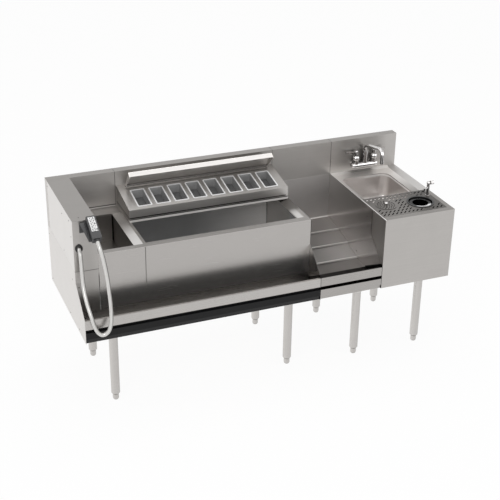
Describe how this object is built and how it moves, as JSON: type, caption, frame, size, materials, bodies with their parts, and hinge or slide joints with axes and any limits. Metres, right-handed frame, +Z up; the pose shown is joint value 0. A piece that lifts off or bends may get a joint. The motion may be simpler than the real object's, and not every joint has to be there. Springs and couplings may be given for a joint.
{
  "type": "underbar sink station with ice bin",
  "caption": "Stainless underbar unit: soda gun box, bottle well, ice bin with lidded condiment rack, stepped bottle display, sink with tap, glass rinser and dipper well, speed rail, legs.",
  "frame": {"origin": "on the floor, under the middle of the body's length and depth", "axes": "+X along the unit to the right as seen from the bartender's side, +Y from the front to the wall, +Z up"},
  "size_m": [1.8295, 0.7046, 0.953],
  "materials": {
    "sheet": "satin",
    "end_sheet": "satin",
    "inner_sheet": "satin",
    "leg_tube": "satin",
    "bright_trim": "polished",
    "rail_black": "satin",
    "gun_black": "gloss",
    "button_white": "gloss",
    "hose_clear": "gloss",
    "foam": "matte"
  },
  "bodies": {
    "station": {"backsplash": "sheet", "rear_panel": "inner_sheet", "left_end_panel": "end_sheet", "gun_box_cover": "sheet", "gun_box_lower_panel": "sheet", "well_liner": "inner_sheet", "well_apron": "sheet", "bin_liner": "inner_sheet", "bin_insulation": "foam", "bin_apron": "sheet", "drain_fittings": "bright_trim", "step_end_panels": "sheet", "step_display": "inner_sheet", "rail_main": "sheet", "rail_lower_panel": "rail_black", "rail_step": "sheet", "sink_cabinet": "sheet", "sink_deck": "sheet", "sink_bowl": "sheet", "drain_tray": "sheet", "rinser_base": "bright_trim", "dipper_well": "bright_trim", "dipper_tap": "bright_trim", "faucet_body": "bright_trim", "rack_body": "sheet", "lid_hinge_rod": "bright_trim", "gun_holder": "gun_black", "hose_grommet": "gun_black", "soda_hose": "hose_clear", "base_frame": "inner_sheet", "legs": "leg_tube", "panel_screws": "bright_trim"},
    "lid": {"rack_lid": "end_sheet"},
    "spout": {"faucet_spout": "bright_trim"},
    "hot_lever": {"hot_handle": "bright_trim"},
    "cold_lever": {"cold_handle": "bright_trim"},
    "rinser_button": {"rinser_actuator": "bright_trim"},
    "dipper_valve_knob": {"dipper_knob": "bright_trim"},
    "dipper_cup": {"dipper_bowl": "bright_trim"},
    "basket_strainer": {"sink_strainer": "bright_trim"},
    "gun": {"gun_body": "gun_black"},
    "feet": {"levelling_feet": "leg_tube"},
    "pan_1": {"condiment_pan_1": "sheet"},
    "pan_2": {"condiment_pan_2": "sheet"},
    "pan_3": {"condiment_pan_3": "sheet"},
    "pan_4": {"condiment_pan_4": "sheet"},
    "pan_5": {"condiment_pan_5": "sheet"},
    "pan_6": {"condiment_pan_6": "sheet"},
    "pan_7": {"condiment_pan_7": "sheet"},
    "pan_8": {"condiment_pan_8": "sheet"},
    "button_1": {"gun_button_1": "button_white"},
    "button_2": {"gun_button_2": "button_white"},
    "button_3": {"gun_button_3": "button_white"},
    "button_4": {"gun_button_4": "button_white"},
    "button_5": {"gun_button_5": "button_white"},
    "button_6": {"gun_button_6": "button_white"},
    "button_7": {"gun_button_7": "button_white"},
    "button_8": {"gun_button_8": "button_white"},
    "button_9": {"gun_button_9": "button_white"},
    "button_10": {"gun_button_10": "button_white"}
  },
  "joints": [
    {"name": "lid_hinge", "type": "hinge", "parent": "station", "child": "lid", "pos_m": [0, 0.25128, 0.86075], "axis": [-1, 0, 0], "range_deg": [-58, 45]},
    {"name": "pan_1_lift", "type": "slide", "parent": "station", "child": "pan_1", "axis": [0, -0.1846, 0.9828], "range_m": [0, 0.045]},
    {"name": "pan_2_lift", "type": "slide", "parent": "station", "child": "pan_2", "axis": [0, -0.1846, 0.9828], "range_m": [0, 0.045]},
    {"name": "pan_3_lift", "type": "slide", "parent": "station", "child": "pan_3", "axis": [0, -0.1846, 0.9828], "range_m": [0, 0.045]},
    {"name": "pan_4_lift", "type": "slide", "parent": "station", "child": "pan_4", "axis": [0, -0.1846, 0.9828], "range_m": [0, 0.045]},
    {"name": "pan_5_lift", "type": "slide", "parent": "station", "child": "pan_5", "axis": [0, -0.1846, 0.9828], "range_m": [0, 0.045]},
    {"name": "pan_6_lift", "type": "slide", "parent": "station", "child": "pan_6", "axis": [0, -0.1846, 0.9828], "range_m": [0, 0.045]},
    {"name": "pan_7_lift", "type": "slide", "parent": "station", "child": "pan_7", "axis": [0, -0.1846, 0.9828], "range_m": [0, 0.045]},
    {"name": "pan_8_lift", "type": "slide", "parent": "station", "child": "pan_8", "axis": [0, -0.1846, 0.9828], "range_m": [0, 0.045]},
    {"name": "spout_swivel", "type": "hinge", "parent": "station", "child": "spout", "pos_m": [0.728, 0.259, 0.846], "axis": [0, 0, 1], "range_deg": [-75, 75]},
    {"name": "hot_lever_turn", "type": "hinge", "parent": "station", "child": "hot_lever", "pos_m": [0.6772, 0.259, 0.85], "axis": [0, 0, 1], "range_deg": [0, 90]},
    {"name": "cold_lever_turn", "type": "hinge", "parent": "station", "child": "cold_lever", "pos_m": [0.7788, 0.259, 0.85], "axis": [0, 0, -1], "range_deg": [0, 90]},
    {"name": "rinser_press", "type": "slide", "parent": "station", "child": "rinser_button", "axis": [0, 0, -1], "range_m": [0, 0.005], "stiffness_N_per_m": 1200, "springref_m": -0.005},
    {"name": "dipper_knob_turn", "type": "hinge", "parent": "station", "child": "dipper_valve_knob", "pos_m": [0.8915, -0.137, 0.823], "axis": [1, 0, 0], "range_deg": [0, 270]},
    {"name": "dipper_bowl_lift", "type": "slide", "parent": "station", "child": "dipper_cup", "axis": [0, 0, 1], "range_m": [0, 0.028]},
    {"name": "strainer_lift", "type": "slide", "parent": "station", "child": "basket_strainer", "axis": [0, 0, 1], "range_m": [0, 0.04]},
    {"name": "gun_lift", "type": "slide", "parent": "station", "child": "gun", "axis": [0, -0.4462, 0.8949], "range_m": [0, 0.05]},
    {"name": "button_1_press", "type": "slide", "parent": "gun", "child": "button_1", "axis": [0, 0.4462, -0.8949], "range_m": [0, 0.0014], "stiffness_N_per_m": 300, "springref_m": -0.0015},
    {"name": "button_2_press", "type": "slide", "parent": "gun", "child": "button_2", "axis": [0, 0.4462, -0.8949], "range_m": [0, 0.0014], "stiffness_N_per_m": 300, "springref_m": -0.0015},
    {"name": "button_3_press", "type": "slide", "parent": "gun", "child": "button_3", "axis": [0, 0.4462, -0.8949], "range_m": [0, 0.0014], "stiffness_N_per_m": 300, "springref_m": -0.0015},
    {"name": "button_4_press", "type": "slide", "parent": "gun", "child": "button_4", "axis": [0, 0.4462, -0.8949], "range_m": [0, 0.0014], "stiffness_N_per_m": 300, "springref_m": -0.0015},
    {"name": "button_5_press", "type": "slide", "parent": "gun", "child": "button_5", "axis": [0, 0.4462, -0.8949], "range_m": [0, 0.0014], "stiffness_N_per_m": 300, "springref_m": -0.0015},
    {"name": "button_6_press", "type": "slide", "parent": "gun", "child": "button_6", "axis": [0, 0.4462, -0.8949], "range_m": [0, 0.0014], "stiffness_N_per_m": 300, "springref_m": -0.0015},
    {"name": "button_7_press", "type": "slide", "parent": "gun", "child": "button_7", "axis": [0, 0.4462, -0.8949], "range_m": [0, 0.0014], "stiffness_N_per_m": 300, "springref_m": -0.0015},
    {"name": "button_8_press", "type": "slide", "parent": "gun", "child": "button_8", "axis": [0, 0.4462, -0.8949], "range_m": [0, 0.0014], "stiffness_N_per_m": 300, "springref_m": -0.0015},
    {"name": "button_9_press", "type": "slide", "parent": "gun", "child": "button_9", "axis": [0, 0.4462, -0.8949], "range_m": [0, 0.0014], "stiffness_N_per_m": 300, "springref_m": -0.0015},
    {"name": "button_10_press", "type": "slide", "parent": "gun", "child": "button_10", "axis": [0, 0.4462, -0.8949], "range_m": [0, 0.0014], "stiffness_N_per_m": 300, "springref_m": -0.0015},
    {"name": "feet_screw_out", "type": "slide", "parent": "station", "child": "feet", "axis": [0, 0, -1], "range_m": [0, 0.025]}
  ]
}
